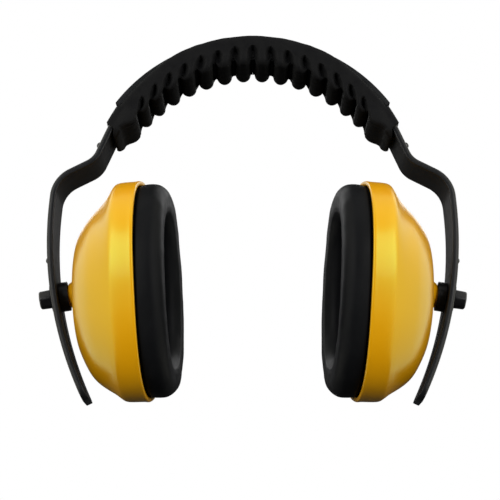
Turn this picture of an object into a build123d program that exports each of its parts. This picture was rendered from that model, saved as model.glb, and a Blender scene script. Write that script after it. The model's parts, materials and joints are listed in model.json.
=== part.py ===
"""Hearing protection earmuffs: a sprung slotted headband, a soft crown pad and two swivelling cups.

Everything is in millimetres and degrees. X points to the wearer's right, Y to the back and Z up.
The origin is the middle of the crown pad's underside, where the headband rests on the head.
The headband leans back from the cups, so its parts are drawn in a band frame: u sideways, v to the
back and w up, measured from the line through both ball centres. Right side parts are drawn first
and the left side mirrors them.
"""

import os
from math import asin, atan2, cos, degrees, radians, sin, tan

from build123d import *

# ---------------------------------------------------------------- headband
BAND_LEAN = 12.5
BAND_WIDTH = 28.0
BAND_THICK = 3.0
BAND_EDGE = 1.0
CROWN_OUTER = 77.0
CROWN_RISE = 46.0
CROWN_END = 66.0
SHOULDER_RUN = 15.0
SHOULDER_BEND = 11.0
ARM_OUTER = 180.0
ARM_INSET = 82.9
ARM_RISE = 27.4
ARM_TOP = 5.0
ARM_RUN = 10.4
ARM_BEND = 14.5
ARM_TIP = -26.2
TIP_CORNER = 5.0
FLEX_OFFSET = 35.0
FLEX_GAP = 0.3
SPINE_HEIGHT = 2.3
SPINE_HALF_WIDTH = 13.0
SPINE_START = 29.0
SPINE_END = 55.5

# ---------------------------------------------------------------- crown pad
PAD_TOP = 79.0
PAD_CENTRE_INNER = 64.8
PAD_UNDER_RADIUS = 72.4
PAD_HALF_WIDTH = 15.6
PAD_HALF_ANGLE = 68.0
PAD_SLEEVE_ANGLE = 27.0
PAD_LOOP_START = 56.5
PAD_LOOP_TOP = 78.3
PAD_SIDE_TOP = 77.2
PAD_CLEAR = 0.3
PAD_BLOCK_INNER = 58.8
PAD_CHANNEL_ANGLE = 80.0

# ---------------------------------------------------------------- strap studs
STUD_SHANK = 1.2
STUD_HEAD = 1.7
STUD_STAND = 1.9
LOW_STUD_STAND = 0.4
UPPER_STUD_RUN = 5.0
LOWER_STUD_ANGLE = -3.5

# ---------------------------------------------------------------- ball pin and slider, along the pin
BALL_OFFSET = 82.4
BALL_RADIUS = 4.0
NECK_RADIUS = 2.25
SHANK_RADIUS = 2.0
SHANK_START = 7.0
SHANK_END = 18.6
RUN_CLEAR = 0.05
BUSH_RADIUS = 7.0
BUSH_START = 5.0
BUSH_FACE = 8.95
BUSH_SLEEVE = 3.0
SLOT_CLEAR = 0.3
SLIDE_TRAVEL = 36.0
WASHER_RADIUS = 6.5
WASHER_START = 12.7
WASHER_END = 13.4
KNOB_START = 13.7
KNOB_END = 19.7
KNOB_RADIUS = 4.9
KNOB_ROUND = 1.1
KNOB_BORE_END = SHANK_END + 0.3

# ---------------------------------------------------------------- ball seat
SEAT_INNER = BALL_RADIUS + 0.06
SEAT_OUTER = 5.3
SEAT_FRONT = 2.4
SEAT_BACK = 3.0
SOCKET_RADIUS = SEAT_OUTER + 0.08
BOSS_RADIUS = 7.2
BOSS_GAP = 0.3
MOUTH_HALF_ANGLE = 47.0
MOUTH_DEPTH = 10.0

# ---------------------------------------------------------------- cup, along its own axis
CUP_TILT = 2.85
CUP_YAW = 4.75
SHELL_WALL = 2.5
RIM_DEPTH = 32.7
RIM_HALF_HEIGHT = 52.0
RIM_HALF_WIDTH = 41.0
DOME = [(-2.4, 19.5, 21.5), (0.0, 25.8, 30.0), (5.0, 33.4, 39.6), (11.0, 40.0, 45.2),
        (17.0, 46.6, 49.6), (22.5, 51.4, 51.8), (RIM_DEPTH, RIM_HALF_HEIGHT, RIM_HALF_HEIGHT)]
LINER_CLEAR = 0.4
LINER_DEPTH = (10.0, 30.8)
LINER_FLOOR = 16.0
LINER_WALL = 9.0
PLATE_DEPTH = (31.0, 32.7)
PLATE_CLEAR = 0.3
CUSHION_HALF_HEIGHT = 50.0
CUSHION_HALF_WIDTH = 39.2
CUSHION_RING = 16.4
CUSHION_HEIGHT = 12.6
CUSHION_ROUND = 6.0
CUSHION_SKIN = 0.9
CUSHION_GAP = 0.05

# ---------------------------------------------------------------- worked-out places
STOCK = 200.0
UPWARD = (Align.CENTER, Align.CENTER, Align.MIN)
CROWN_MID = CROWN_OUTER - BAND_THICK / 2
ARM_MID = ARM_OUTER - BAND_THICK / 2
HEAD_RISE = CROWN_RISE + PAD_CENTRE_INNER
FLEX_ANGLE = degrees(asin(FLEX_OFFSET / CROWN_MID))
PIN_DROOP = degrees(atan2(ARM_RISE, BALL_OFFSET + ARM_INSET))
BAND = Location((0, -HEAD_RISE * sin(radians(BAND_LEAN)), -HEAD_RISE * cos(radians(BAND_LEAN))),
                (-BAND_LEAN, 0, 0))
PIN_PLANE = Plane(origin=(BALL_OFFSET, 0, 0), x_dir=(0, 1, 0),
                  z_dir=(cos(radians(PIN_DROOP)), 0, -sin(radians(PIN_DROOP))))
PIN = BAND * PIN_PLANE.location


def cup_location():
    """Frame of the right cup: x to the front, y up and z inwards, from the ball centre."""
    tilt, yaw = radians(CUP_TILT), radians(CUP_YAW)
    inward = (-cos(tilt) * cos(yaw), -sin(yaw), sin(tilt) * cos(yaw))
    front = (sin(yaw), -cos(yaw), 0)
    return Plane(origin=PIN.position, x_dir=front, z_dir=inward).location


CUP = cup_location()


def crown_point(angle, radius=CROWN_MID):
    """Point on the crown circle, angle degrees out from the top."""
    return Vector(radius * sin(radians(angle)), 0, CROWN_RISE + radius * cos(radians(angle)))


def arm_point(angle, radius=ARM_MID):
    """Point on the arm's bow, angle degrees up from its widest place."""
    return Vector(radius * cos(radians(angle)) - ARM_INSET, 0, ARM_RISE + radius * sin(radians(angle)))


def crown_arc(start, end):
    """Middle line of the band over the head, between two angles from the top."""
    return ThreePointArc(crown_point(start), crown_point((start + end) / 2), crown_point(end))


def crown_out(angle):
    """Outward direction of the crown circle at an angle from the top."""
    return Vector(sin(radians(angle)), 0, cos(radians(angle)))


def sector(inner, outer, start, end, half_width):
    """Block of the crown ring between two radii and two angles, as wide as twice half_width."""
    middle = (start + end) / 2
    edges = [
        ThreePointArc(crown_point(start, outer), crown_point(middle, outer), crown_point(end, outer)),
        Line(crown_point(end, outer), crown_point(end, inner)),
        ThreePointArc(crown_point(end, inner), crown_point(middle, inner), crown_point(start, inner)),
        Line(crown_point(start, inner), crown_point(start, outer)),
    ]
    return extrude(make_face(edges), amount=half_width, dir=(0, 1, 0), both=True)


def strip(path):
    """The band's rounded strip section swept along a path in the band frame."""
    start = Plane(origin=path @ 0, x_dir=(0, 1, 0), z_dir=path % 0)
    section = start * RectangleRounded(BAND_WIDTH, BAND_THICK, BAND_EDGE)
    return sweep(section, path=path)


def cross_rod(point, radius, width=BAND_WIDTH):
    """Rod across the band, through a point of its middle line."""
    return Plane(origin=point, z_dir=(0, 1, 0)) * Cylinder(radius, width)


def turned(profile):
    """Solid of revolution about its own Z axis from a list of (radius, height) corners."""
    outline = Polyline([(radius, 0, height) for radius, height in profile], close=True)
    return revolve(make_face(outline), axis=Axis.Z)


def headband_crown():
    """Middle of the sprung band, over the head."""
    piece = strip(crown_arc(-FLEX_ANGLE, FLEX_ANGLE))
    for side in (-1, 1):
        piece -= cross_rod(crown_point(side * FLEX_ANGLE), BAND_THICK / 2 + FLEX_GAP, 2 * BAND_WIDTH)
    return BAND * piece


def arm_path():
    """Middle line of the right arm, from the flex line over the shoulder to the tip."""
    crown_end = crown_point(CROWN_END)
    arm_start = arm_point(ARM_TOP)
    down = Vector(cos(radians(CROWN_END)), 0, -sin(radians(CROWN_END)))
    up = Vector(-sin(radians(ARM_TOP)), 0, cos(radians(ARM_TOP)))
    shoulder = FilletPolyline(
        crown_end, crown_end + down * SHOULDER_RUN, arm_start + up * ARM_RUN, arm_start,
        radius=[SHOULDER_BEND, ARM_BEND],
    )
    bow = ThreePointArc(arm_start, arm_point((ARM_TOP + ARM_TIP) / 2), arm_point(ARM_TIP))
    return Wire([crown_arc(FLEX_ANGLE, CROWN_END), *shoulder.edges(), bow])


def stud_frames():
    """Frames of the two strap studs, on the band's middle line with z outwards."""
    out = crown_out(CROWN_END)
    down = Vector(cos(radians(CROWN_END)), 0, -sin(radians(CROWN_END)))
    low = radians(LOWER_STUD_ANGLE)
    upper = Plane(origin=crown_point(CROWN_END) + down * UPPER_STUD_RUN, x_dir=(0, 1, 0), z_dir=out)
    lower = Plane(origin=arm_point(LOWER_STUD_ANGLE), x_dir=(0, 1, 0), z_dir=(cos(low), 0, sin(low)))
    return {"upper": upper, "lower": lower}


def slot_cut():
    """Long slot in the lower arm that the slider's sleeve runs in."""
    travel_angle = degrees(SLIDE_TRAVEL / ARM_MID)
    middle_angle = -PIN_DROOP - travel_angle / 2
    turn = radians(middle_angle)
    face = Plane(origin=arm_point(middle_angle), x_dir=(sin(turn), 0, -cos(turn)),
                 z_dir=(cos(turn), 0, sin(turn)))
    outline = SlotCenterToCenter(SLIDE_TRAVEL + 2 * SLOT_CLEAR, 2 * (BUSH_SLEEVE + SLOT_CLEAR))
    return face * extrude(outline, amount=3 * BAND_THICK, both=True)


def tip_trim():
    """Material outside the arm tip's rounded corners."""
    turn = radians(ARM_TIP)
    end = Plane(origin=arm_point(ARM_TIP), x_dir=(sin(turn), 0, -cos(turn)),
                z_dir=(cos(turn), 0, sin(turn)))
    square = Pos(-TIP_CORNER, 0) * Rectangle(4 * TIP_CORNER, BAND_WIDTH + TIP_CORNER)
    rounded = Pos(-BAND_WIDTH, 0) * RectangleRounded(2 * BAND_WIDTH, BAND_WIDTH, TIP_CORNER)
    return end * extrude(square - rounded, amount=2 * BAND_THICK, both=True)


def arm():
    """Sprung arm: shoulder bend, bowed slotted strip and the raised spine over the pad's window."""
    piece = strip(arm_path())
    piece += cross_rod(crown_point(FLEX_ANGLE), BAND_THICK / 2, BAND_WIDTH - 2 * BAND_EDGE)
    piece += sector(CROWN_MID, CROWN_OUTER + SPINE_HEIGHT, SPINE_START, SPINE_END, SPINE_HALF_WIDTH)
    piece -= slot_cut()
    piece -= tip_trim()
    for frame in stud_frames().values():
        piece -= frame * Cylinder(STUD_SHANK, 3 * BAND_THICK)
    return BAND * piece


def crown_pad():
    """Soft pad under the crown, closed over the band in the middle and looped round it at its ends."""
    under_centre = CROWN_RISE + PAD_CENTRE_INNER - PAD_UNDER_RADIUS
    side = sector(PAD_BLOCK_INNER, PAD_LOOP_TOP, -PAD_HALF_ANGLE, PAD_HALF_ANGLE, PAD_HALF_WIDTH)
    top = sector(CROWN_OUTER, PAD_TOP, -PAD_SLEEVE_ANGLE, PAD_SLEEVE_ANGLE, PAD_HALF_WIDTH)
    piece = side + top
    piece -= cross_rod(Vector(0, 0, under_centre), PAD_UNDER_RADIUS, 4 * PAD_HALF_WIDTH)
    piece -= sector(CROWN_OUTER - BAND_THICK - PAD_CLEAR, CROWN_OUTER + PAD_CLEAR,
                    -PAD_CHANNEL_ANGLE, PAD_CHANNEL_ANGLE, BAND_WIDTH / 2 + PAD_CLEAR)
    for start, end in ((PAD_SLEEVE_ANGLE, PAD_LOOP_START), (-PAD_LOOP_START, -PAD_SLEEVE_ANGLE)):
        piece -= sector(PAD_SIDE_TOP, PAD_TOP, start, end, 2 * PAD_HALF_WIDTH)
    return BAND * piece


def strap_stud(stand):
    """Round-headed stud pressed through the band, its head stand mm above the outer face."""
    shank = Pos(0, 0, stand / 2) * Cylinder(STUD_SHANK, BAND_THICK + stand)
    head = Pos(0, 0, BAND_THICK / 2 + stand) * Sphere(STUD_HEAD)
    head -= Pos(0, 0, -STUD_HEAD) * Cylinder(2 * STUD_HEAD, BAND_THICK + 2 * STUD_HEAD)
    return shank + head


def ball_stud():
    """Ball pin that joins the cup to the slider and carries the knob's thread."""
    shank = turned([(0, 0), (NECK_RADIUS, 0), (NECK_RADIUS, SHANK_START), (SHANK_RADIUS, SHANK_START),
                    (SHANK_RADIUS, SHANK_END), (0, SHANK_END)])
    return PIN * (Sphere(BALL_RADIUS) + shank)


def spacer_bush():
    """Dished spacer between cup and arm, with the sleeve that runs in the slot."""
    bore = SHANK_RADIUS + RUN_CLEAR
    body = turned([(bore, BUSH_START), (BUSH_RADIUS, BUSH_START), (BUSH_RADIUS, BUSH_FACE),
                   (BUSH_SLEEVE, BUSH_FACE), (BUSH_SLEEVE, WASHER_START), (bore, WASHER_START)])
    return PIN * (body - Sphere(BOSS_RADIUS + BOSS_GAP))


def slide_washer():
    """Thin washer on the outside of the slot."""
    bore = SHANK_RADIUS + RUN_CLEAR
    return PIN * turned([(bore, WASHER_START), (WASHER_RADIUS, WASHER_START),
                         (WASHER_RADIUS, WASHER_END), (bore, WASHER_END)])


def clamp_knob():
    """Six-sided round-edged knob on the pin's thread."""
    body = extrude(Pos(0, 0, KNOB_START) * RegularPolygon(KNOB_RADIUS, 6), amount=KNOB_END - KNOB_START)
    body = fillet(body.edges().filter_by(Axis.Z), KNOB_ROUND)
    body = chamfer(body.faces().sort_by(Axis.Z)[-1].edges(), KNOB_ROUND / 2)
    bore = Cylinder(SHANK_RADIUS + RUN_CLEAR, KNOB_BORE_END, align=UPWARD)
    return PIN * (body - bore)


def ball_seat_ring():
    """Ring-shaped seat that grips the ball and turns in the cup's boss."""
    body = Sphere(SEAT_OUTER) - Sphere(SEAT_INNER)
    slab = Pos(0, 0, -SEAT_FRONT) * Cylinder(2 * SEAT_OUTER, SEAT_FRONT + SEAT_BACK, align=UPWARD)
    return CUP * (body & slab)


def dome(inset):
    """Solid dome ruled through the cup's elliptical stations, each drawn in by inset."""
    aspect = RIM_HALF_WIDTH / RIM_HALF_HEIGHT
    sections = []
    for depth, top, bottom in DOME:
        half_height = (top + bottom) / 2
        place = Pos(0, (top - bottom) / 2, depth + inset)
        sections.append(place * Ellipse(half_height * aspect - inset, half_height - inset))
    return loft(sections, ruled=True)


def cup_shell():
    """Hard cup with its ball socket boss."""
    rim_cut = Pos(0, 0, RIM_DEPTH) * Box(STOCK, STOCK, STOCK, align=UPWARD)
    mouth_radius = MOUTH_DEPTH * tan(radians(MOUTH_HALF_ANGLE))
    mouth = turned([(0, 0), (0, -MOUTH_DEPTH), (mouth_radius, -MOUTH_DEPTH)])
    body = dome(0) - (dome(SHELL_WALL) - Sphere(BOSS_RADIUS)) + Sphere(BOSS_RADIUS)
    return CUP * (body - Sphere(SOCKET_RADIUS) - mouth - rim_cut)


def foam_liner():
    """Sound-absorbing foam dish that lines the cup and leaves room for the ear."""
    low, high = LINER_DEPTH
    inset = SHELL_WALL + LINER_CLEAR
    slab = Pos(0, 0, low) * Box(STOCK, STOCK, high - low, align=UPWARD)
    wall = inset + LINER_WALL
    well_outline = Ellipse(RIM_HALF_WIDTH - wall, RIM_HALF_HEIGHT - wall)
    well = Pos(0, 0, LINER_FLOOR) * extrude(well_outline, amount=high)
    return CUP * ((dome(inset) & slab) - well)


def ring_plate(half_height, half_width, ring, depths):
    """Flat elliptical ring between two depths."""
    low, high = depths
    outline = Ellipse(half_width, half_height) - Ellipse(half_width - ring, half_height - ring)
    return Pos(0, 0, low) * extrude(outline, amount=high - low)


def cushion_plate():
    """Stiff ring that holds the cushion in the cup's mouth."""
    inset = SHELL_WALL + PLATE_CLEAR
    ring = CUSHION_RING - inset
    return CUP * ring_plate(RIM_HALF_HEIGHT - inset, RIM_HALF_WIDTH - inset, ring, PLATE_DEPTH)


def cushion_ring(inset, bottom):
    """Ring with rounded top edges, its sides and top drawn in by inset, from bottom up."""
    depths = (RIM_DEPTH + bottom, RIM_DEPTH + CUSHION_HEIGHT - inset)
    block = ring_plate(CUSHION_HALF_HEIGHT - inset, CUSHION_HALF_WIDTH - inset,
                       CUSHION_RING - 2 * inset, depths)
    return fillet(block.edges().group_by(Axis.Z)[-1], CUSHION_ROUND - inset)


def cushion_skin():
    """Soft sealing skin of the ear cushion."""
    return CUP * (cushion_ring(0, 0) - cushion_ring(CUSHION_SKIN, -CUSHION_SKIN))


def cushion_foam():
    """Foam ring inside the cushion's skin."""
    return CUP * cushion_ring(CUSHION_SKIN + CUSHION_GAP, CUSHION_GAP)


def mirrored(piece):
    """The left side's copy of a right side piece."""
    return mirror(piece, about=Plane.YZ)


def build():
    """All nodes by name."""
    frames = stud_frames()
    right = {
        "arm": arm(),
        "strap_stud_upper": BAND * frames["upper"].location * strap_stud(STUD_STAND),
        "strap_stud_lower": BAND * frames["lower"].location * strap_stud(LOW_STUD_STAND),
        "spacer_bush": spacer_bush(),
        "slide_washer": slide_washer(),
        "ball_stud": ball_stud(),
        "clamp_knob": clamp_knob(),
        "ball_seat_ring": ball_seat_ring(),
        "cup_shell": cup_shell(),
        "foam_liner": foam_liner(),
        "cushion_plate": cushion_plate(),
        "cushion_skin": cushion_skin(),
        "cushion_foam": cushion_foam(),
    }
    nodes = {"headband_crown": headband_crown(), "crown_pad": crown_pad()}
    for name, piece in right.items():
        nodes[f"right_{name}"] = piece
        nodes[f"left_{name}"] = mirrored(piece)
    return nodes


if __name__ == "__main__":
    os.makedirs("parts", exist_ok=True)
    for node, solid in build().items():
        export_step(solid, f"parts/{node}.step")
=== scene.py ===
"""Looks of a pair of hearing protection earmuffs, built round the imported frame.

Shapes are drawn in millimetres in three local frames read from the frame's joints: the band's plane,
the ball pin and the cup. Each is placed in the shared frame, in metres, when its piece is finished.
The right side is drawn and the left side mirrors it.
"""

from __future__ import annotations

import json
import logging
import math
from dataclasses import dataclass, field
from enum import Enum
from typing import Callable, Iterable, Sequence

import bmesh
import bpy
from bmesh.types import BMEdge, BMesh, BMVert
from bpy.types import Material, Node, NodeSocket, NodeTree, Object
from mathutils import Matrix, Vector, noise

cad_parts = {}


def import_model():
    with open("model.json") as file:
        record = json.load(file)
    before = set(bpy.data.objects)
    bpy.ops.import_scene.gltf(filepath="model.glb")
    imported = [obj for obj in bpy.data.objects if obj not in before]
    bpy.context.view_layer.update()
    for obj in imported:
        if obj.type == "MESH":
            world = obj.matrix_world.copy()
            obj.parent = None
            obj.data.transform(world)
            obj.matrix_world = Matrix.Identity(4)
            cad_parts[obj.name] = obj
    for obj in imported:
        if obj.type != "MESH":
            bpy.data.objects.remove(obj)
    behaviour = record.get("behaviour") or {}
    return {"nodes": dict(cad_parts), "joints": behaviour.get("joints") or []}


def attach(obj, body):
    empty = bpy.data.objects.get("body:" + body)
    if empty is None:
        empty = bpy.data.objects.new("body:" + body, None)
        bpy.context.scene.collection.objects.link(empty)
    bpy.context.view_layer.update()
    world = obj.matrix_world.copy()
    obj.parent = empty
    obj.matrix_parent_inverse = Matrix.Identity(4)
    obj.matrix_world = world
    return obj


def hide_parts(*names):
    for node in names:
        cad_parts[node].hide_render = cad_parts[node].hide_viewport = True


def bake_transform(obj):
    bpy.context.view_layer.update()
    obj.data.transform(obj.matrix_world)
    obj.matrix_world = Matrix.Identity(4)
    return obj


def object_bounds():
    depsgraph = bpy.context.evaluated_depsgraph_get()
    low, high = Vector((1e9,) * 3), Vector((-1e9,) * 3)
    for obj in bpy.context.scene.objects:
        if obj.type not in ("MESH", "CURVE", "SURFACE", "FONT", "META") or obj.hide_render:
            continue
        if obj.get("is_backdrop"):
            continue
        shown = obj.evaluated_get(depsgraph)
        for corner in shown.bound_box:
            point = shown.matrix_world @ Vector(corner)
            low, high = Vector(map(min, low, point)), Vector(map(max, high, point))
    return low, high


LOG = logging.getLogger("earmuffs")
MM = 0.001
Colour = tuple[float, float, float]


class Side(Enum):
    """The wearer's two sides, with the sign of X on each."""

    RIGHT = 1
    LEFT = -1

    @property
    def label(self) -> str:
        """The side's name as the frame's nodes spell it."""
        return self.name.lower()


# ---- small maths


def step(low: float, high: float, value: float) -> float:
    """Smooth rise from 0 at low to 1 at high.

    Args:
        low: Where the rise starts.
        high: Where the rise ends.
        value: The place asked about.

    Returns:
        A share from 0 to 1.
    """
    share = min(max((value - low) / (high - low), 0.0), 1.0)
    return share * share * (3 - 2 * share)


def mix(low: float, high: float, share: float) -> float:
    """The value a share of the way from low to high."""
    return low + (high - low) * share


def signed_power(value: float, power: float) -> float:
    """A power of value's size that keeps its sign."""
    return math.copysign(abs(value) ** power, value)


def rounded_outline(half_width: float, low: float, high: float, low_round: float, high_round: float,
                    spacing: float) -> list[tuple[float, float]]:
    """Rounded rectangle as evenly spaced points, counter-clockwise from the lower right corner.

    Args:
        half_width: Half its width.
        low: Its lower side.
        high: Its upper side.
        low_round: Radius of the lower corners.
        high_round: Radius of the upper corners.
        spacing: Largest distance between two points.

    Returns:
        The points as (across, up).
    """
    corners = [
        (half_width - low_round, low + low_round, low_round, -90),
        (half_width - high_round, high - high_round, high_round, 0),
        (high_round - half_width, high - high_round, high_round, 90),
        (low_round - half_width, low + low_round, low_round, 180),
    ]
    bends = []
    for across, up, radius, first in corners:
        count = max(3, math.ceil(radius * math.pi / 2 / spacing))
        angles = [math.radians(first + 90 * i / count) for i in range(count + 1)]
        bends.append([Vector((across + radius * math.cos(a), up + radius * math.sin(a))) for a in angles])
    points: list[tuple[float, float]] = []
    for bend, following in zip(bends, bends[1:] + bends[:1]):
        points += [tuple(point) for point in bend]
        gap = following[0] - bend[-1]
        count = max(1, math.ceil(gap.length / spacing))
        points += [tuple(bend[-1] + gap * i / count) for i in range(1, count)]
    return points


# ---- local frames


@dataclass(frozen=True)
class Run:
    """One stretch of the band's middle line.

    Attributes:
        length: Its length in mm.
        turn: How far it turns to the left, in degrees; 0 is straight.
    """

    length: float
    turn: float = 0.0


@dataclass(frozen=True)
class BandPath:
    """Middle line of the right half of the band, from the top of the head to the arm's tip.

    Attributes:
        crown_rise: Height of the crown circle's centre over the line through both balls.
        crown_radius: Radius of the band's middle line over the head.
        runs: The stretches in order.
    """

    crown_rise: float = 46.0
    crown_radius: float = 75.5
    runs: tuple[Run, ...] = (
        Run(86.970, -66.0),
        Run(11.114),
        Run(7.470, 38.91),
        Run(9.366),
        Run(14.655, -57.91),
        Run(2.377),
        Run(97.201, -31.2),
    )

    @property
    def length(self) -> float:
        """Whole length of the half band."""
        return sum(run.length for run in self.runs)

    @property
    def bow_start(self) -> float:
        """Distance along the band at which the lower arm's bow starts."""
        return self.length - self.runs[-1].length

    def along_crown(self, angle: float) -> float:
        """Distance along the band of a crown angle in degrees."""
        return self.crown_radius * math.radians(angle)

    def place(self, distance: float) -> tuple[Vector, Vector]:
        """Point of the middle line and the outward direction there.

        Args:
            distance: Distance along the band from the top of the head.

        Returns:
            The point and the direction, each as (sideways, up).
        """
        point = Vector((0.0, self.crown_rise + self.crown_radius))
        heading = 0.0
        rest = distance
        for run in self.runs:
            length = rest if run is self.runs[-1] else min(rest, run.length)
            curl = math.radians(run.turn) / run.length
            ahead = heading + curl * length
            if run.turn:
                chord = Vector((math.sin(ahead) - math.sin(heading), math.cos(heading) - math.cos(ahead)))
                point += chord / curl
            else:
                point += Vector((math.cos(heading), math.sin(heading))) * length
            heading = ahead
            rest -= length
            if rest <= 0:
                break
        return point, Vector((-math.sin(heading), math.cos(heading)))

    def stations(self, start: float, end: float, spacing: float) -> list[float]:
        """Distances along the band at which a bar bent to it has its sections.

        Args:
            start: First distance.
            end: Last distance.
            spacing: Largest distance between two sections, on straight runs and wide arcs.

        Returns:
            Increasing distances, closer together where the band turns sharply.
        """
        widest_turn = 4.0
        found = [start]
        done = 0.0
        for run in self.runs:
            low, high = max(start, done), min(end, done + run.length)
            done += run.length
            if high - low < spacing / 10:
                continue
            turn = abs(run.turn) * (high - low) / run.length
            count = max(1, math.ceil((high - low) / spacing), math.ceil(turn / widest_turn))
            found += [low + (high - low) * i / count for i in range(1, count + 1)]
        return found


@dataclass(frozen=True)
class Places:
    """The object's local frames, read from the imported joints.

    Attributes:
        band: Band frame to the shared frame: x sideways, y back, z up, from between the balls.
        pin: Ball centre, with z outwards along the pin.
        cup: Ball centre, with x to the front, y up and z inwards.
    """

    band: Matrix
    pin: Matrix
    cup: Matrix

    @classmethod
    def from_joints(cls, joints: Sequence[dict]) -> Places:
        """Reads the right side's frames.

        Args:
            joints: The frame's joints.

        Returns:
            The three local frames, each with millimetres on its inner side.
        """
        by_name = {joint["name"]: joint for joint in joints}
        ball = Vector(by_name["right_pin_spin"]["pos_m"])
        out = Vector(by_name["right_pin_spin"]["axis"])
        back = Vector(by_name["right_height"]["axis"])
        front = -Vector(by_name["right_cup_tilt"]["axis"])
        rise = Vector(by_name["right_cup_yaw"]["axis"])
        sideways = Vector((1, 0, 0))
        middle = Vector((0, ball.y, ball.z))
        return cls(
            band=cls.matrix(middle, sideways, back, sideways.cross(back)),
            pin=cls.matrix(ball, back, out.cross(back), out),
            cup=cls.matrix(ball, front, rise, front.cross(rise)),
        )

    @staticmethod
    def matrix(origin: Vector, x_axis: Vector, y_axis: Vector, z_axis: Vector) -> Matrix:
        """Matrix from a local frame in mm to the shared frame in metres."""
        turned = Matrix((x_axis.normalized(), y_axis.normalized(), z_axis.normalized())).transposed()
        return Matrix.Translation(origin) @ turned.to_4x4() @ Matrix.Scale(MM, 4)


# ---- mesh tools


def mesh_object(name: str, bm: BMesh) -> Object:
    """Turns a bmesh into an object in the scene and frees it."""
    mesh = bpy.data.meshes.new(name)
    bm.to_mesh(mesh)
    bm.free()
    made = bpy.data.objects.new(name, mesh)
    bpy.context.scene.collection.objects.link(made)
    return made


def evaluated_mesh(made: Object) -> BMesh:
    """The object's mesh with its modifiers applied, as a new bmesh."""
    graph = bpy.context.evaluated_depsgraph_get()
    bm = bmesh.new()
    bm.from_object(made, graph)
    return bm


def combined(body: BMesh, others: Iterable[BMesh],
             operation: str) -> BMesh:
    """Joins solids to a body or cuts them out of it.

    Args:
        body: The solid that is kept; it is used up.
        others: The solids to add or cut; they are used up.
        operation: UNION or DIFFERENCE.

    Returns:
        The new solid.
    """
    base = mesh_object("work_body", body)
    tools = [mesh_object("work_tool", other) for other in others]
    for tool in tools:
        modifier = base.modifiers.new("combine", "BOOLEAN")
        modifier.operation = operation
        modifier.solver = "EXACT"
        modifier.object = tool
    bpy.context.view_layer.update()
    made = evaluated_mesh(base)
    for used in (base, *tools):
        mesh = used.data
        bpy.data.objects.remove(used)
        bpy.data.meshes.remove(mesh)
    return made


def chained(rings: Sequence[Sequence[Vector]]) -> BMesh:
    """Closed body through a chain of equal rings of points, capped at its first and last.

    Args:
        rings: The rings in order along the surface, each with its points in the same order.

    Returns:
        The body, with its normals outwards.
    """
    bm = bmesh.new()
    verts = [bm.verts.new(point) for point in rings[0]]
    bm.faces.new(verts)
    for ring in rings[1:]:
        around = set(verts)
        loop = {edge for vert in verts for edge in vert.link_edges if edge.other_vert(vert) in around}
        made = bmesh.ops.extrude_edge_only(bm, edges=sorted(loop, key=lambda edge: edge.index))["geom"]
        fresh = {item.co.to_tuple(6): item for item in made if isinstance(item, BMVert)}
        verts = [fresh[vert.co.to_tuple(6)] for vert in verts]
        for vert, point in zip(verts, ring):
            vert.co = point
    bm.faces.new(verts)
    bmesh.ops.recalc_face_normals(bm, faces=bm.faces)
    return bm


def bar(outline: Sequence[tuple[float, float]], stations: Sequence[float]) -> BMesh:
    """Closed straight bar: an outline in the y-z plane, extruded along x.

    Args:
        outline: Section points as (y, z).
        stations: Increasing x of each section.

    Returns:
        The bar, flat, ready to be bent to the band.
    """
    return chained([[Vector((x, y, z)) for y, z in outline] for x in stations])


def post(centre: Vector, radius: float, reach: float, stretch: float = 0.0) -> BMesh:
    """Upright round cutter through a flat bar, or a long slot where it is stretched along x.

    Args:
        centre: Middle of its first round end, as (x, y).
        radius: Its radius.
        reach: How far it goes each way from the bar's middle.
        stretch: Distance between its two round ends.

    Returns:
        The closed cutter.
    """
    round_parts = 34
    bm = bmesh.new()
    bmesh.ops.create_cone(bm, cap_ends=True, segments=round_parts, radius1=radius, radius2=radius,
                          depth=2 * reach)
    far_end = [vert for vert in bm.verts if vert.co.x > 0]
    bmesh.ops.translate(bm, vec=(stretch, 0, 0), verts=far_end)
    bmesh.ops.translate(bm, vec=(centre.x, centre.y, 0), verts=bm.verts)
    bmesh.ops.recalc_face_normals(bm, faces=bm.faces)
    return bm


def bent(bm: BMesh, path: BandPath) -> None:
    """Wraps a flat bar onto the band's path: x runs along it and z stands out from it."""
    for vert in bm.verts:
        point, out = path.place(vert.co.x)
        spot = point + out * vert.co.z
        vert.co = Vector((spot.x, vert.co.y, spot.y))


@dataclass(frozen=True)
class Ring:
    """One closed oval of a lofted piece, in the cup's frame.

    Attributes:
        depth: Its place along the cup's axis.
        top: Its reach upwards from the axis.
        bottom: Its reach downwards from the axis.
        aspect: Its width over its height.
        square: Exponent of the oval; 2 is an ellipse and more is squarer.
    """

    depth: float
    top: float
    bottom: float
    aspect: float = 0.788
    square: float = 2.0

    def point(self, angle: float) -> Vector:
        """Point of the oval at an angle from the front."""
        half = (self.top + self.bottom) / 2
        across = signed_power(math.cos(angle), 2 / self.square) * half * self.aspect
        up = signed_power(math.sin(angle), 2 / self.square) * half + (self.top - self.bottom) / 2
        return Vector((across, up, self.depth))


def lofted(rings: Sequence[Ring], segments: int) -> BMesh:
    """Closed body through a chain of rings, capped at its first and last.

    Args:
        rings: The rings in order along the surface.
        segments: Points on each ring.

    Returns:
        The body, with its normals outwards.
    """
    angles = [2 * math.pi * i / segments for i in range(segments)]
    return chained([[ring.point(angle) for angle in angles] for ring in rings])


def ruffled(bm: BMesh, depth: float, size: float, seed: float,
            keep: Callable[[Vector], bool] = lambda spot: True) -> None:
    """Moves points along their normals by smooth noise, as on soft foam and skin.

    Args:
        bm: The mesh to change.
        depth: Largest move in mm.
        size: Size of the noise's waves in mm.
        seed: Offset that picks the pattern.
        keep: Tells which places move.
    """
    bm.normal_update()
    offset = Vector((seed, -seed, 2 * seed))
    moves = [(vert, vert.normal * depth * noise.noise(vert.co / size + offset)) for vert in bm.verts
             if keep(vert.co)]
    for vert, move in moves:
        vert.co += move


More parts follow.
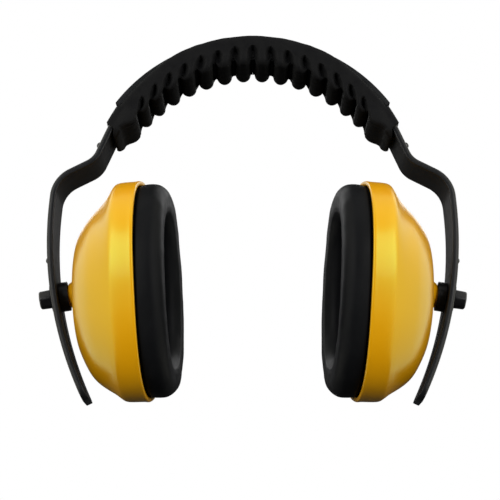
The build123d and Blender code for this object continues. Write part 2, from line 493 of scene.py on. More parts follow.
@dataclass
class Maker:
    """Finishes pieces: places them, gives them their material and adds them to the scene."""

    places: Places
    made: list[Object] = field(default_factory=list)

    def piece(self, name: str, bm: BMesh, place: Matrix, side: Side,
              material: Material, smooth: int = 0, sharp: float = 40.0) -> Object:
        """Finishes one piece of one side.

        Args:
            name: Piece name after the side's.
            bm: Its mesh in a local frame of the right side; it is used up.
            place: Matrix of that local frame.
            side: Which side it is on.
            material: Its finish.
            smooth: Levels of subdivision.
            sharp: Angle in degrees from which an edge is shaded sharp.

        Returns:
            The new object, at the origin, with its place in its mesh.
        """
        bmesh.ops.transform(bm, matrix=place, verts=bm.verts)
        if side is Side.LEFT:
            bmesh.ops.scale(bm, vec=(-1, 1, 1), verts=bm.verts)
            bmesh.ops.reverse_faces(bm, faces=bm.faces)
        made = mesh_object(f"{side.label}_{name}", bm)
        if smooth:
            modifier = made.modifiers.new("smooth", "SUBSURF")
            modifier.levels = modifier.render_levels = smooth
            bpy.context.view_layer.update()
            finer = evaluated_mesh(made)
            made.modifiers.clear()
            finer.to_mesh(made.data)
            finer.free()
        made.data.shade_smooth()
        made.data.set_sharp_from_angle(angle=math.radians(sharp))
        made.data.materials.append(material)
        self.made.append(made)
        LOG.info("%s: %d faces", made.name, len(made.data.polygons))
        return made


# ---- finishes


class Grain(Enum):
    """How a finish's small relief is made."""

    MOULDED = "moulded"
    FOAM = "foam"
    LEATHER = "leather"


@dataclass(frozen=True)
class Finish:
    """One procedural finish.

    Attributes:
        name: The material's name.
        colour: Its main colour.
        worn: The colour that its mottling drifts towards.
        mottle: Size of the mottling in mm.
        mottle_share: How far the mottling goes towards the worn colour.
        rough: Lowest and highest roughness.
        grain: Kind of small relief.
        grain_size: Size of the relief in mm.
        grain_depth: Depth of the relief in mm.
        coat: Weight of a clear gloss over it.
        specular: Specular level.
        gleam: Tint of its reflections.
    """

    name: str
    colour: Colour
    worn: Colour
    mottle: float
    mottle_share: float
    rough: tuple[float, float]
    grain: Grain
    grain_size: float
    grain_depth: float
    coat: float = 0.0
    specular: float = 0.5
    gleam: Colour = (1.0, 1.0, 1.0)

    def material(self) -> Material:
        """Builds the node material."""
        made = bpy.data.materials.new(self.name)
        made.use_nodes = True
        tree = made.node_tree
        shader = tree.nodes["Principled BSDF"]
        shader.inputs["Coat Weight"].default_value = self.coat
        shader.inputs["Coat Roughness"].default_value = 0.06
        shader.inputs["Specular IOR Level"].default_value = self.specular
        shader.inputs["Specular Tint"].default_value = (*self.gleam, 1)
        place = tree.nodes.new("ShaderNodeTexCoord").outputs["Object"]
        cloud = self.noise(tree, place, self.mottle, 4.0)
        self.tint(tree, cloud, shader)
        self.polish(tree, cloud, shader)
        self.relief(tree, place, shader)
        made.diffuse_color = (*self.colour, 1)
        return made

    @staticmethod
    def noise(tree: NodeTree, place: NodeSocket, size: float,
              detail: float) -> NodeSocket:
        """Adds a noise texture whose waves are size mm long, and returns its value."""
        node = tree.nodes.new("ShaderNodeTexNoise")
        node.inputs["Scale"].default_value = 1 / (size * MM)
        node.inputs["Detail"].default_value = detail
        tree.links.new(place, node.inputs["Vector"])
        return node.outputs["Fac"]

    @staticmethod
    def spread(tree: NodeTree, cloud: NodeSocket, high: float,
               ends: tuple[float, float]) -> NodeSocket:
        """Stretches the cloud's values, from 0.3 up to high, between two ends.

        Args:
            tree: The material's nodes.
            cloud: The value to stretch.
            high: The value that gives the second end.
            ends: The results at both ends.

        Returns:
            The stretched value.
        """
        node = tree.nodes.new("ShaderNodeMapRange")
        node.inputs["From Min"].default_value = 0.3
        node.inputs["From Max"].default_value = high
        node.inputs["To Min"].default_value, node.inputs["To Max"].default_value = ends
        tree.links.new(cloud, node.inputs["Value"])
        return node.outputs["Result"]

    def tint(self, tree: NodeTree, cloud: NodeSocket, shader: Node) -> None:
        """Mottles the colour."""
        blend = tree.nodes.new("ShaderNodeMix")
        blend.data_type = "RGBA"
        blend.inputs[6].default_value = (*self.colour, 1)
        blend.inputs[7].default_value = (*self.worn, 1)
        tree.links.new(self.spread(tree, cloud, 0.75, (0.0, self.mottle_share)), blend.inputs[0])
        tree.links.new(blend.outputs[2], shader.inputs["Base Color"])

    def polish(self, tree: NodeTree, cloud: NodeSocket, shader: Node) -> None:
        """Varies the roughness."""
        tree.links.new(self.spread(tree, cloud, 0.7, self.rough), shader.inputs["Roughness"])

    def relief(self, tree: NodeTree, place: NodeSocket, shader: Node) -> None:
        """Adds the small relief as a bump."""
        if self.grain is Grain.MOULDED:
            height = self.noise(tree, place, self.grain_size, 3.0)
        else:
            cells = tree.nodes.new("ShaderNodeTexVoronoi")
            cells.feature = "SMOOTH_F1" if self.grain is Grain.FOAM else "DISTANCE_TO_EDGE"
            cells.inputs["Scale"].default_value = 1 / (self.grain_size * MM)
            warp = self.noise(tree, place, self.grain_size * 3, 2.0)
            shift = tree.nodes.new("ShaderNodeVectorMath")
            shift.operation = "MULTIPLY_ADD"
            shift.inputs[1].default_value = (self.grain_size * MM,) * 3
            tree.links.new(warp, shift.inputs[0])
            tree.links.new(place, shift.inputs[2])
            tree.links.new(shift.outputs[0], cells.inputs["Vector"])
            height = cells.outputs["Distance"]
        bump = tree.nodes.new("ShaderNodeBump")
        bump.inputs["Strength"].default_value = 0.5
        bump.inputs["Distance"].default_value = self.grain_depth * MM
        tree.links.new(height, bump.inputs["Height"])
        tree.links.new(bump.outputs["Normal"], shader.inputs["Normal"])


@dataclass(frozen=True)
class Palette:
    """Every finish of the earmuffs, under the name of the record's slot that it belongs to."""

    band_plastic: Finish = Finish("band_nylon", (0.007, 0.0075, 0.0085), (0.014, 0.014, 0.014), 9, 0.5,
                                  (0.30, 0.42), Grain.MOULDED, 0.5, 0.02, specular=0.14)
    pad_foam: Finish = Finish("pad_foam_rubber", (0.007, 0.007, 0.0075), (0.012, 0.012, 0.012), 5, 0.6,
                              (0.5, 0.7), Grain.FOAM, 0.7, 0.05, specular=0.03)
    fitting_plastic: Finish = Finish("fitting_nylon", (0.007, 0.007, 0.008), (0.013, 0.013, 0.014), 3, 0.5,
                                     (0.28, 0.42), Grain.MOULDED, 0.35, 0.015, specular=0.18)
    pin_plastic: Finish = Finish("pin_nylon", (0.02, 0.02, 0.022), (0.05, 0.05, 0.05), 2, 0.5,
                                 (0.3, 0.4), Grain.MOULDED, 0.3, 0.01)
    seat_plastic: Finish = Finish("seat_acetal", (0.03, 0.03, 0.03), (0.05, 0.05, 0.05), 3, 0.5,
                                  (0.2, 0.35), Grain.MOULDED, 0.4, 0.01)
    cup_plastic: Finish = Finish("cup_gloss_abs", (0.84, 0.37, 0.0006), (0.88, 0.395, 0.0008), 24, 0.6,
                                 (0.30, 0.36), Grain.MOULDED, 1.2, 0.004, coat=0.04, specular=0.8,
                                 gleam=(0.25, 1.0, 0.2))
    liner_foam: Finish = Finish("liner_open_foam", (0.006, 0.006, 0.007), (0.016, 0.016, 0.018), 2.5, 0.7,
                                (0.85, 0.95), Grain.FOAM, 1.1, 0.25, specular=0.01)
    cushion_skin: Finish = Finish("cushion_vinyl", (0.006, 0.0063, 0.007), (0.009, 0.0093, 0.0102), 12, 0.5,
                                  (0.42, 0.55), Grain.LEATHER, 1.0, 0.03, specular=0.04)

    def materials(self) -> dict[str, Material]:
        """Builds every material, by slot name."""
        return {slot: getattr(self, slot).material() for slot in self.__dataclass_fields__}


# ---- headband


@dataclass
class Headband:
    """Sprung band: a crowned strip with a raised strip over the pad's window and a slotted lower arm."""

    maker: Maker
    path: BandPath
    material: Material
    half_width: float = 14.0
    half_thick: float = 1.5
    outer_round: float = 1.35
    inner_round: float = 0.6
    spacing: float = 1.6
    strip_angles: tuple[float, float] = (25.0, 55.5)
    strip_half_width: float = 13.0
    strip_rise: float = 3.3
    strip_lift: float = 4.5
    slot_start: float = 44.59
    slot_travel: float = 36.6
    slot_half_width: float = 3.3
    upper_stud: float = 91.97
    lower_stud: float = 26.48
    stud_hole: float = 1.4
    tip_corner: float = 5.0
    tip_hole: float = 1.3
    blend_from: float = 18.3
    blend_to: float = 57.5

    def build(self, side: Side) -> Object:
        """Makes one side's half of the band.

        Args:
            side: Which side.

        Returns:
            The band piece, bending between the crown and that side's arm.
        """
        bm = bar(rounded_outline(self.half_width, -self.half_thick, self.half_thick, self.inner_round,
                                 self.outer_round, self.outer_round),
                 self.path.stations(0, self.path.length, self.spacing))
        bm = combined(bm, [self.strip()], "UNION")
        bm = combined(bm, self.cutters(), "DIFFERENCE")
        self.round_tip(bm)
        bent(bm, self.path)
        made = self.maker.piece("band", bm, self.maker.places.band, side, self.material, sharp=50)
        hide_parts(f"{side.label}_arm", "headband_crown")
        bend_at_crown(made, self.path, self.blend_from, self.blend_to)
        return made

    def strip(self) -> BMesh:
        """Raised strip over the window in the pad, thicker towards its square lifted end."""
        start, end = (self.path.along_crown(angle) for angle in self.strip_angles)
        sink, proud = 0.6, 0.3
        bm = bar(rounded_outline(self.strip_half_width, sink, self.half_thick + proud, 0.2, 0.2, 3.0),
                 self.path.stations(start, end, self.spacing))
        low_side = (sink + self.half_thick) / 2
        for vert in bm.verts:
            share = (vert.co.x - start) / (end - start)
            if vert.co.z > low_side:
                vert.co.z += mix(self.strip_rise, self.strip_lift, share) - self.half_thick - proud
            elif share > 0.93:
                vert.co.z = self.half_thick + 0.5
        return bm

    def cutters(self) -> list[BMesh]:
        """The slot, the two stud holes and the small hole at the tip."""
        reach = 4 * self.half_thick
        bow = self.path.bow_start
        return [
            post(Vector((bow + self.slot_start, 0)), self.slot_half_width, reach, self.slot_travel),
            post(Vector((self.upper_stud, 0)), self.stud_hole, reach),
            post(Vector((bow + self.lower_stud, 0)), self.stud_hole, reach),
            post(Vector((self.path.length - 5.5, 0)), self.tip_hole, reach),
        ]

    def round_tip(self, bm: BMesh) -> None:
        """Draws the tip's two corners in to arcs."""
        corner_start = self.path.length - self.tip_corner
        for vert in bm.verts:
            past = vert.co.x - corner_start
            if past > 0:
                drawn = self.tip_corner - math.sqrt(max(self.tip_corner**2 - past**2, 0))
                vert.co.y *= (self.half_width - drawn) / self.half_width


def bend_at_crown(made: Object, path: BandPath, start: float,
                  end: float) -> None:
    """Bakes a band or pad piece's placement into its mesh.

    Args:
        made: The piece.
        path: The band's path.
        start: Distance along the band where it stops following the crown.
        end: Distance along the band from which it follows the arm.
    """
    for distance in (start, end):
        point, _ = path.place(distance)
    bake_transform(made)


# ---- crown pad


@dataclass
class CrownPad:
    """Corrugated foam pad under the crown, closed over the band in the middle and looped at its ends."""

    maker: Maker
    path: BandPath
    material: Material
    half_width: float = 15.6
    low_round: float = 3.4
    high_round: float = 2.4
    centre_low: float = 64.3
    end_low: float = 66.7
    tongue_low: float = 70.2
    sleeve_top: float = 79.0
    window_top: float = 77.2
    loop_top: float = 78.3
    tongue_top: float = 73.5
    sleeve_end: float = 26.8
    window_flat: float = 46.0
    loop_start: float = 56.4
    loop_end: float = 63.9
    tongue_end: float = 67.2
    tip_width: float = 0.55
    last_lobe: float = 59.4
    grooves: int = 8
    pitch_low: float = 7.7
    pitch_high: float = 6.8
    wall_depth: float = 4.2
    under_depth: float = 4.4
    arch_top: float = 73.3
    arch_fall: float = 0.3
    arch_height: float = 2.2
    wall_flat: float = 0.14
    under_flat: float = 0.09
    lobe_bulge: float = 1.6
    lobe_half_angle: float = 6.0
    lobe_radius: float = 69.0
    lobe_half_height: float = 5.5
    channel_half_width: float = 14.3
    channel_half_height: float = 1.8
    spacing: float = 0.5

    def build(self, side: Side) -> Object:
        """Makes one side's half of the pad.

        Args:
            side: Which side.

        Returns:
            The pad piece.
        """
        low, high = self.centre_low - self.path.crown_radius, self.sleeve_top - self.path.crown_radius
        outline = rounded_outline(self.half_width, low, high, self.low_round, self.high_round, 0.8)
        end = self.path.along_crown(self.tongue_end)
        bm = bar(outline, self.path.stations(0, end, self.spacing))
        self.shape(bm, low, high)
        half, wide = self.channel_half_height, self.channel_half_width
        channel = bar(rounded_outline(wide, -half, half, 0.4, 0.4, 2),
                      self.path.stations(-2, self.path.along_crown(self.loop_end + 2), 1.5))
        window = bar(rounded_outline(wide, -1, 6, 0.4, 0.4, 2),
                     self.path.stations(self.path.along_crown(self.sleeve_end),
                                        self.path.along_crown(self.loop_start), 1.5))
        bm = combined(bm, [channel, window], "DIFFERENCE")
        for vert in bm.verts:
            vert.co.x = max(vert.co.x, 0)
        bent(bm, self.path)
        ruffled(bm, 0.18, 4.0, 11.0)
        made = self.maker.piece("pad", bm, self.maker.places.band, side, self.material, sharp=60)
        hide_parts("crown_pad")
        bend_at_crown(made, self.path, Headband.blend_from, Headband.blend_to)
        return made

    def shape(self, bm: BMesh, low: float, high: float) -> None:
        """Gives the straight bar its changing height, its tongue and its grooves.

        Args:
            bm: The bar.
            low: Its lower side.
            high: Its upper side.
        """
        outward = {vert: self.outward(vert.co, low, high) for vert in bm.verts}
        for vert, out in outward.items():
            angle = math.degrees(vert.co.x / self.path.crown_radius)
            share = (vert.co.z - low) / (high - low)
            radius = mix(self.low_radius(angle), self.top_radius(angle), share)
            narrow = 1.0
            if angle > self.loop_end:
                past = (angle - self.loop_end) / (self.tongue_end - self.loop_end)
                narrow = math.sqrt(max(1 - past**2, 0.04))
                middle = (self.low_radius(angle) + self.tongue_top) / 2
                radius = middle + (radius - middle) * narrow
            vert.co.y *= mix(self.tip_width, 1.0, narrow)
            vert.co.z = radius - self.path.crown_radius
            vert.co -= out * self.groove(angle, radius, out)

    def outward(self, spot: Vector, low: float, high: float) -> Vector:
        """Outward direction of the straight bar's section at one of its points.

        Args:
            spot: The point.
            low: The bar's lower side.
            high: Its upper side.

        Returns:
            The direction, as (0, across, up).
        """
        corner = self.low_round if spot.z < (low + high) / 2 else self.high_round
        inner = self.half_width - corner
        core = Vector((spot.x, min(max(spot.y, -inner), inner),
                       min(max(spot.z, low + self.low_round), high - self.high_round)))
        return (spot - core).normalized()

    def low_radius(self, angle: float) -> float:
        """Radius of the lobes' bottoms at a crown angle."""
        low = self.centre_low + (self.end_low - self.centre_low) * min(angle / self.last_lobe, 1.1) ** 4
        lobe_start = self.loop_end - 6.8
        return mix(low, self.tongue_low, step(lobe_start, self.loop_end, angle) ** 1.6)

    def top_radius(self, angle: float) -> float:
        """Radius of the pad's top at a crown angle."""
        blur = 0.5
        top = mix(self.sleeve_top, self.window_top, step(self.sleeve_end - blur, self.window_flat, angle))
        top = mix(top, self.loop_top, step(self.loop_start - blur, self.loop_start + blur, angle))
        return mix(top, self.tongue_top, step(self.loop_end - blur, self.loop_end + blur, angle))

    def groove(self, angle: float, radius: float, out: Vector) -> float:
        """How deep the corrugation is at a place of the pad's surface.

        Args:
            angle: Crown angle in degrees.
            radius: Radius before the corrugation.
            out: Outward direction of the section there, as (0, across, up).

        Returns:
            Depth in mm, negative on the last lobe, which bulges.
        """
        pitch = mix(self.pitch_low, self.pitch_high, (radius - 66) / 6)
        phase = angle / pitch
        number = min(round(phase), self.grooves - 1)
        aside = abs(phase - number)
        if phase > self.grooves - 0.5:
            return -self.bulge(angle, radius) * abs(out.y)
        arch = self.arch_top - self.arch_fall * number
        open_share = math.sqrt(min(max((arch - radius) / self.arch_height, 0.0), 1.0))
        wall = 0.0
        if open_share > 0:
            wall = self.wall_depth * min(2 * open_share, 1) * self.channel(aside / open_share, self.wall_flat)
        under = self.under_depth * self.channel(aside, self.under_flat)
        return wall * abs(out.y) + under * max(-out.z, 0.0)

    @staticmethod
    def channel(aside: float, flat: float) -> float:
        """Depth share of one channel between round ribs.

        Args:
            aside: Distance from its middle, as a share of the pitch.
            flat: Half width of its flat bottom, as a share of the pitch.

        Returns:
            The share, 1 at the bottom and 0 on the ribs.
        """
        return 1 - math.sqrt(1 - min(max((0.5 - aside) / (0.5 - flat), 0.0), 1.0) ** 2.4)

    def bulge(self, angle: float, radius: float) -> float:
        """How far the big last lobe stands out at a place of the wall."""
        along = (angle - self.last_lobe) / self.lobe_half_angle
        across = (radius - self.lobe_radius) / self.lobe_half_height
        return self.lobe_bulge * max(1 - along * along, 0.0) * max(1 - across * across, 0.0)


# ---- ear cups


@dataclass
class CupShell:
    """Glossy hard cup with a ball socket boss and a rolled rim."""

    maker: Maker
    material: Material
    segments: int = 96
    socket: float = 5.38
    boss: float = 7.2
    mouth: float = 47.0

    def rings(self) -> list[Ring]:
        """The shell's surface from inside the socket, out over the dome and rim, and back inside."""
        ball = [self.round_ring(self.socket, angle) for angle in (4, 40, 75, 105, 180 - self.mouth - 3)]
        lip = [self.round_ring(5.9, 180 - self.mouth - 1), self.round_ring(6.7, 180 - self.mouth)]
        boss = [self.round_ring(self.boss, angle) for angle in (180 - self.mouth - 1, 122, 110, 101)]
        foot = [Ring(-1.1, 7.35, 7.35, 1.0), Ring(-0.8, 8.2, 8.2, 1.0)]
        dome = [
            Ring(-0.75, 11.5, 13.5, 0.95), Ring(-0.65, 14.0, 18.6, 0.85), Ring(-0.4, 18.0, 23.2, 0.8),
            Ring(0.1, 22.2, 27.4), Ring(1.4, 26.9, 30.8, square=2.05), Ring(2.9, 29.6, 34.2, square=2.1),
            Ring(4.9, 32.4, 38.2, square=2.15), Ring(7.0, 35.1, 41.2, square=2.2),
            Ring(9.6, 37.9, 43.6, 0.798, 2.25), Ring(12.7, 40.6, 45.8, 0.8, 2.3),
            Ring(15.6, 43.3, 47.5, 0.8, 2.35), Ring(17.8, 46.0, 48.9, 0.792, 2.4),
            Ring(19.6, 48.8, 50.4, 0.776, 2.45), Ring(20.7, 50.5, 51.2, 0.768, 2.45),
            Ring(21.8, 51.6, 51.8, 0.765, 2.5), Ring(25.0, 52.0, 52.0, 0.776, 2.5),
            Ring(30.6, 52.0, 52.0, square=2.5), Ring(31.2, 52.25, 52.25, square=2.5),
            Ring(32.2, 52.25, 52.25, square=2.5), Ring(32.7, 51.7, 51.7, square=2.5),
            Ring(32.7, 50.4, 50.4, square=2.5), Ring(32.1, 49.7, 49.7, square=2.5),
        ]
        inside = [
            Ring(25.0, 49.5, 49.5, 0.765, 2.5), Ring(20.5, 48.6, 48.8, 0.75, 2.45),
            Ring(14.5, 41.0, 44.6, square=2.3), Ring(8.0, 34.0, 39.6, square=2.2),
            Ring(4.6, 27.0, 31.0, square=2.1), Ring(2.4, 18.0, 21.0), Ring(1.9, 10.0, 10.0, 1.0),
            self.round_ring(self.boss, 72), self.round_ring(self.boss, 40), self.round_ring(self.boss, 4),
        ]
        return [*ball, *lip, *boss, *foot, *dome, *inside]

    @staticmethod
    def round_ring(radius: float, angle: float) -> Ring:
        """Circle on a sphere about the ball centre, at an angle from the inward direction."""
        reach = radius * math.sin(math.radians(angle))
        return Ring(radius * math.cos(math.radians(angle)), reach, reach, 1.0)

    def build(self, side: Side) -> Object:
        """Makes one side's shell.

        Args:
            side: Which side.

        Returns:
            The shell piece, riding on its cup.
        """
        bm = lofted(self.rings(), self.segments)
        made = self.maker.piece("shell", bm, self.maker.places.cup, side, self.material, smooth=2, sharp=70)
        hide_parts(f"{side.label}_cup_shell")
        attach(made, f"{side.label}_cup")
        return made


@dataclass
class FoamLiner:
    """Wrinkled open-cell foam dish that lines the cup."""

    maker: Maker
    material: Material
    segments: int = 144

    def rings(self) -> list[Ring]:
        """The dish's surface, from its outer bottom over its edge into the well."""
        outer = [Ring(10.4, 1, 1, 1.0), Ring(10.3, 15, 15), Ring(10.6, 30, 33), Ring(14.0, 38.0, 42.0),
                 Ring(18.0, 43.5, 45.5, 0.75), Ring(23.0, 48.4, 48.4, 0.74), Ring(29.6, 48.8, 48.8, 0.75)]
        edge = [Ring(30.7, 47.6, 47.6, 0.75), Ring(30.7, 45.0, 45.0, 0.75), Ring(30.2, 42.4, 42.4, 0.75)]
        well = [Ring(29.0 - 1.2 * i, 40.6 - 0.1 * i, 40.6 - 0.1 * i, 0.73) for i in range(10)]
        floor = [Ring(16.6, 38.0, 38.0, 0.72), Ring(16.1, 35.5, 35.5, 0.72)]
        floor += [Ring(16.0, reach, reach, 0.73) for reach in (32, 28, 24, 20, 16, 12, 8, 4, 1)]
        return [*outer, *edge, *well, *floor]

    def build(self, side: Side) -> Object:
        """Makes one side's liner.

        Args:
            side: Which side.

        Returns:
            The liner piece, riding on its cup.
        """
        bm = lofted(self.rings(), self.segments)
        bmesh.ops.subdivide_edges(bm, edges=bm.edges, cuts=1, use_grid_fill=True)
        ruffled(bm, 2.0, 9.0, 3.0, self.in_well)
        ruffled(bm, 0.8, 3.0, 5.0, self.in_well)
        made = self.maker.piece("liner", bm, self.maker.places.cup, side, self.material, sharp=70)
        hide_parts(f"{side.label}_foam_liner")
        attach(made, f"{side.label}_cup")
        return made

    @staticmethod
    def in_well(spot: Vector) -> bool:
        """True for places on the well's own surface, clear of the shell."""
        return spot.z > 15.0 and (spot.x / 32.5) ** 2 + (spot.y / 42.5) ** 2 < 1


@dataclass
class EarCushion:
    """Soft sealing ring of foam in a thin skin, with a weld line drawn in near its inner edge."""

    maker: Maker
    material: Material
    base: float = 32.75
    half_height: float = 50.0
    half_width: float = 39.2
    ring: float = 16.4
    height: float = 12.3
    crown_round: float = 6.0
    square: float = 2.4
    bulge: float = 0.5
    weld_height: float = 0.35
    weld_inset: float = 4.6
    weld_width: float = 0.5
    steps: int = 144

    def build(self, side: Side) -> Object:
        """Makes one side's cushion.

        Args:
            side: Which side.

        Returns:
            The cushion piece, riding on its cup.
        """
        radius = self.half_height
        bm = bmesh.new()
        outline = rounded_outline(self.ring / 2, 0, self.height, 1.2, self.crown_round, 0.9)
        ring = [bm.verts.new((radius + across, 0, up)) for across, up in outline]
        edges = [bm.edges.new((a, b)) for a, b in zip(ring, ring[1:] + ring[:1])]
        bmesh.ops.spin(bm, geom=[*ring, *edges], cent=(0, 0, 0), axis=(0, 0, 1), angle=2 * math.pi,
                       steps=self.steps, use_merge=True)
        bmesh.ops.remove_doubles(bm, verts=bm.verts, dist=0.01)
        for vert in bm.verts:
            vert.co = self.placed(vert.co, radius)
        bmesh.ops.recalc_face_normals(bm, faces=bm.faces)
        ruffled(bm, 0.35, 14.0, 7.0, lambda spot: spot.z > self.base + 1)
        ruffled(bm, 0.12, 5.0, 9.0, lambda spot: spot.z > self.base + 1)
        made = self.maker.piece("cushion", bm, self.maker.places.cup, side, self.material, smooth=1, sharp=70)
        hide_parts(f"{side.label}_cushion_skin", f"{side.label}_cushion_foam")
        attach(made, f"{side.label}_cup")
        return made

    def placed(self, spot: Vector, radius: float) -> Vector:
        """Moves a point of the round ring onto the cushion's oval.

        Args:
            spot: Point of the ring spun about the z axis.
            radius: Radius of that ring's middle.

        Returns:
            The point in the cup's frame, with the skin crowned and its weld line drawn in.
        """
        angle = math.atan2(spot.y, spot.x)
        across = math.hypot(spot.x, spot.y) - radius
        high, wide = self.half_height - self.ring / 2, self.half_width - self.ring / 2
        power = 2 / self.square
        middle = Vector((wide * signed_power(math.cos(angle), power),
                         high * signed_power(math.sin(angle), power)))
        slope = Vector((signed_power(middle.x / wide, self.square - 1) / wide,
                        signed_power(middle.y / high, self.square - 1) / high)).normalized()
        share = spot.z / self.height
        bulge = self.bulge * math.sin(math.pi * min(share * 1.2, 1.0)) * (1 if across > 0 else -1)
        weld = self.weld_height * math.exp(-(((across + self.weld_inset) / self.weld_width) ** 2))
        weld *= step(0.8, 0.95, share)
        flat = middle + slope * (across + bulge * abs(across) / (self.ring / 2))
        return Vector((flat.x, flat.y, self.base + spot.z + weld))


# ---- fittings


@dataclass
class ClampKnob:
    """Six-sided round-edged knob with a dished face."""

    maker: Maker
    material: Material
    start: float = 13.7
    end: float = 19.0
    radius: float = 4.9
    side_round: float = 1.2
    face_round: float = 0.9

    def build(self, side: Side) -> Object:
        """Makes one side's knob.

        Args:
            side: Which side.

        Returns:
            The knob piece, riding on its knob body.
        """
        bm = bmesh.new()
        bmesh.ops.create_cone(bm, cap_ends=True, segments=6, radius1=self.radius, radius2=self.radius * 0.96,
                              depth=self.end - self.start)
        bmesh.ops.rotate(bm, cent=(0, 0, 0), matrix=Matrix.Rotation(math.radians(90), 3, "Z"), verts=bm.verts)
        bmesh.ops.translate(bm, vec=(0, 0, (self.start + self.end) / 2), verts=bm.verts)
        self.bevel(bm, [edge for edge in bm.edges if abs(edge.verts[0].co.z - edge.verts[1].co.z) > 1],
                   self.side_round)
        self.bevel(bm, [edge for edge in bm.edges if min(v.co.z for v in edge.verts) > self.end - 0.01],
                   self.face_round)
        face = max(bm.faces, key=lambda item: item.calc_center_median().z)
        bmesh.ops.inset_region(bm, faces=[face], thickness=1.0, depth=0)
        bmesh.ops.inset_region(bm, faces=[face], thickness=0.35, depth=-0.35)
        made = self.maker.piece("knob", bm, self.maker.places.pin, side, self.material, sharp=35)
        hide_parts(f"{side.label}_clamp_knob")
        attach(made, f"{side.label}_knob")
        return made

    @staticmethod
    def bevel(bm: BMesh, edges: list[BMEdge], offset: float) -> None:
        """Rounds edges by an offset."""
        bmesh.ops.bevel(bm, geom=edges, offset=offset, offset_type="OFFSET", segments=5, profile=0.5,
                        affect="EDGES", material=-1, clamp_overlap=True)


@dataclass(frozen=True)
class Fittings:
    """CAD pieces that stay as they are and only get their finish."""

    materials: dict[str, Material]
    slots: dict[str, str] = field(default_factory=lambda: {
        "strap_stud_upper": "fitting_plastic", "strap_stud_lower": "fitting_plastic",
        "spacer_bush": "fitting_plastic", "slide_washer": "fitting_plastic", "ball_stud": "pin_plastic",
        "ball_seat_ring": "seat_plastic", "cushion_plate": "fitting_plastic",
    })

    def dress(self, nodes: dict[str, Object], side: Side) -> None:
        """Gives one side's fittings their materials.

        Args:
            nodes: The frame's nodes by name.
            side: Which side.
        """
        for name, slot in self.slots.items():
            node = nodes[f"{side.label}_{name}"]
            if not node.material_slots:
                node.data.materials.append(self.materials[slot])
            for material_slot in node.material_slots:
                material_slot.material = self.materials[slot]
            LOG.info("%s dressed in %s", node.name, slot)


# ---- studio


@dataclass(frozen=True)
class SoftBox:
    """One soft rectangular light.

    Attributes:
        name: Its name, after the side's where each side has one.
        spot: Its place on the right.
        size: Its width and height in metres.
        power: Its power in watts.
        aim: The place it faces.
        colour: Its colour.
        only_reflected: Whether it shows in reflections alone.
    """

    name: str
    spot: tuple[float, float, float]
    size: tuple[float, float]
    power: float
    aim: tuple[float, float, float] = (0.0, -0.02, -0.1)
    colour: Colour = (1.0, 1.0, 1.0)
    only_reflected: bool = False

    def build(self, name: str, out: int) -> None:
        """Adds the light.

        Args:
            name: Its full name.
            out: The sign of X on its side.
        """
        data = bpy.data.lights.new(name, "AREA")
        data.shape = "RECTANGLE"
        data.size, data.size_y = self.size
        data.energy = self.power
        data.color = self.colour
        lamp = bpy.data.objects.new(name, data)
        lamp.location = (self.spot[0] * out, self.spot[1], self.spot[2])
        lamp.visible_camera = False
        lamp.visible_diffuse = not self.only_reflected
        lamp.rotation_euler = (Vector(self.aim) - lamp.location).to_track_quat("-Z", "Y").to_euler()
        bpy.context.scene.collection.objects.link(lamp)


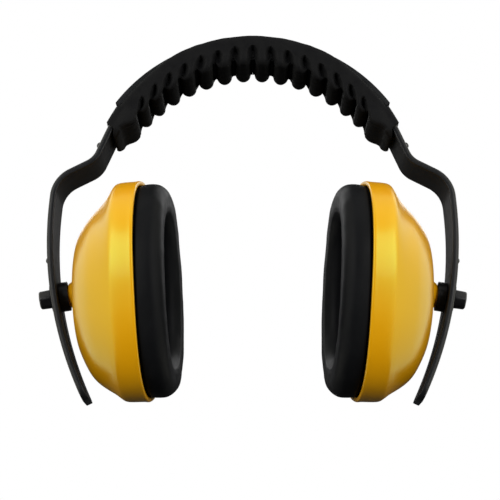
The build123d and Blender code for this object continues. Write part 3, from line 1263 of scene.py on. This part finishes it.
@dataclass(frozen=True)
class Studio:
    """Camera, plain pale floor and soft lights."""

    camera_back: float = 0.730
    camera_side: float = -0.00133
    camera_rise: float = 0.02115
    lens: float = 110.5
    floor_gap: float = 0.25
    floor_radius: float = 1.15
    side_boxes: tuple[SoftBox, ...] = (
        SoftBox("glow", (0.62, -0.12, 0.1), (1.05, 1.6), 12.0, aim=(0.0, -0.12, 0.05),
                colour=(1.0, 0.98, 0.85), only_reflected=True),
        SoftBox("back", (0.6, 0.85, 0.35), (0.8, 0.8), 5.0),
        SoftBox("key", (0.75, -0.9, 0.3), (0.7, 0.7), 8.9),
    )
    top_box: SoftBox = SoftBox("top", (0.0, -0.15, 1.0), (1.2, 1.0), 4.8)

    def build(self, ball: Vector, lowest: float) -> None:
        """Sets the studio up round the object.

        Args:
            ball: The ball centre that the camera's place is measured from.
            lowest: Height of the object's lowest point.
        """
        self.camera(ball)
        self.floor(lowest - self.floor_gap)
        self.world()
        for side in Side:
            for box in self.side_boxes:
                box.build(f"{side.label}_{box.name}", side.value)
        self.top_box.build(self.top_box.name, 1)
        bpy.context.scene.view_settings.view_transform = "Standard"

    def camera(self, ball: Vector) -> None:
        """Adds the level camera in front of the object."""
        data = bpy.data.cameras.new("camera")
        data.lens = self.lens
        data.clip_end = 50
        camera = bpy.data.objects.new("camera", data)
        camera.location = (self.camera_side, ball.y - self.camera_back, ball.z + self.camera_rise)
        camera.rotation_euler = (math.radians(90), 0, 0)
        bpy.context.scene.collection.objects.link(camera)
        bpy.context.scene.camera = camera

    def floor(self, height: float) -> None:
        """Adds the plain pale floor."""
        bm = bmesh.new()
        bmesh.ops.create_circle(bm, cap_ends=True, segments=64, radius=self.floor_radius)
        bmesh.ops.translate(bm, vec=(0, 0, height), verts=bm.verts)
        floor = mesh_object("floor", bm)
        made = bpy.data.materials.new("pale_floor")
        made.use_nodes = True
        shader = made.node_tree.nodes["Principled BSDF"]
        shader.inputs["Base Color"].default_value = (0.9, 0.9, 0.9, 1)
        shader.inputs["Roughness"].default_value = 0.9
        shader.inputs["Emission Color"].default_value = (1, 1, 1, 1)
        shader.inputs["Emission Strength"].default_value = 0.5
        floor.data.materials.append(made)
        floor.visible_diffuse = False
        floor.visible_glossy = False
        floor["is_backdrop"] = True

    def world(self) -> None:
        """Makes the surroundings white to the camera and softer as light."""
        world = bpy.data.worlds.new("studio")
        world.use_nodes = True
        tree = world.node_tree
        seen = tree.nodes["Background"]
        seen.inputs["Color"].default_value = (1, 1, 1, 1)
        seen.inputs["Strength"].default_value = 1.0
        light = tree.nodes.new("ShaderNodeBackground")
        light.inputs["Color"].default_value = (0.95, 0.97, 1, 1)
        light.inputs["Strength"].default_value = 0.05
        rays = tree.nodes.new("ShaderNodeLightPath")
        choice = tree.nodes.new("ShaderNodeMixShader")
        tree.links.new(rays.outputs["Is Camera Ray"], choice.inputs[0])
        tree.links.new(light.outputs[0], choice.inputs[1])
        tree.links.new(seen.outputs[0], choice.inputs[2])
        tree.links.new(choice.outputs[0], tree.nodes["World Output"].inputs["Surface"])
        bpy.context.scene.world = world


def main() -> None:
    """Builds the whole scene."""
    logging.basicConfig(level=logging.INFO, format="%(name)s %(message)s")
    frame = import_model()
    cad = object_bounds()
    places = Places.from_joints(frame["joints"])
    Studio().build(places.pin.translation, cad[0].z)
    materials = Palette().materials()
    maker = Maker(places)
    path = BandPath()
    for side in Side:
        Headband(maker, path, materials["band_plastic"]).build(side)
        CrownPad(maker, path, materials["pad_foam"]).build(side)
        CupShell(maker, materials["cup_plastic"]).build(side)
        FoamLiner(maker, materials["liner_foam"]).build(side)
        EarCushion(maker, materials["cushion_skin"]).build(side)
        ClampKnob(maker, materials["fitting_plastic"]).build(side)
        Fittings(materials).dress(frame["nodes"], side)
    LOG.info("%d pieces made", len(maker.made))


if __name__ == "__main__":
    main()
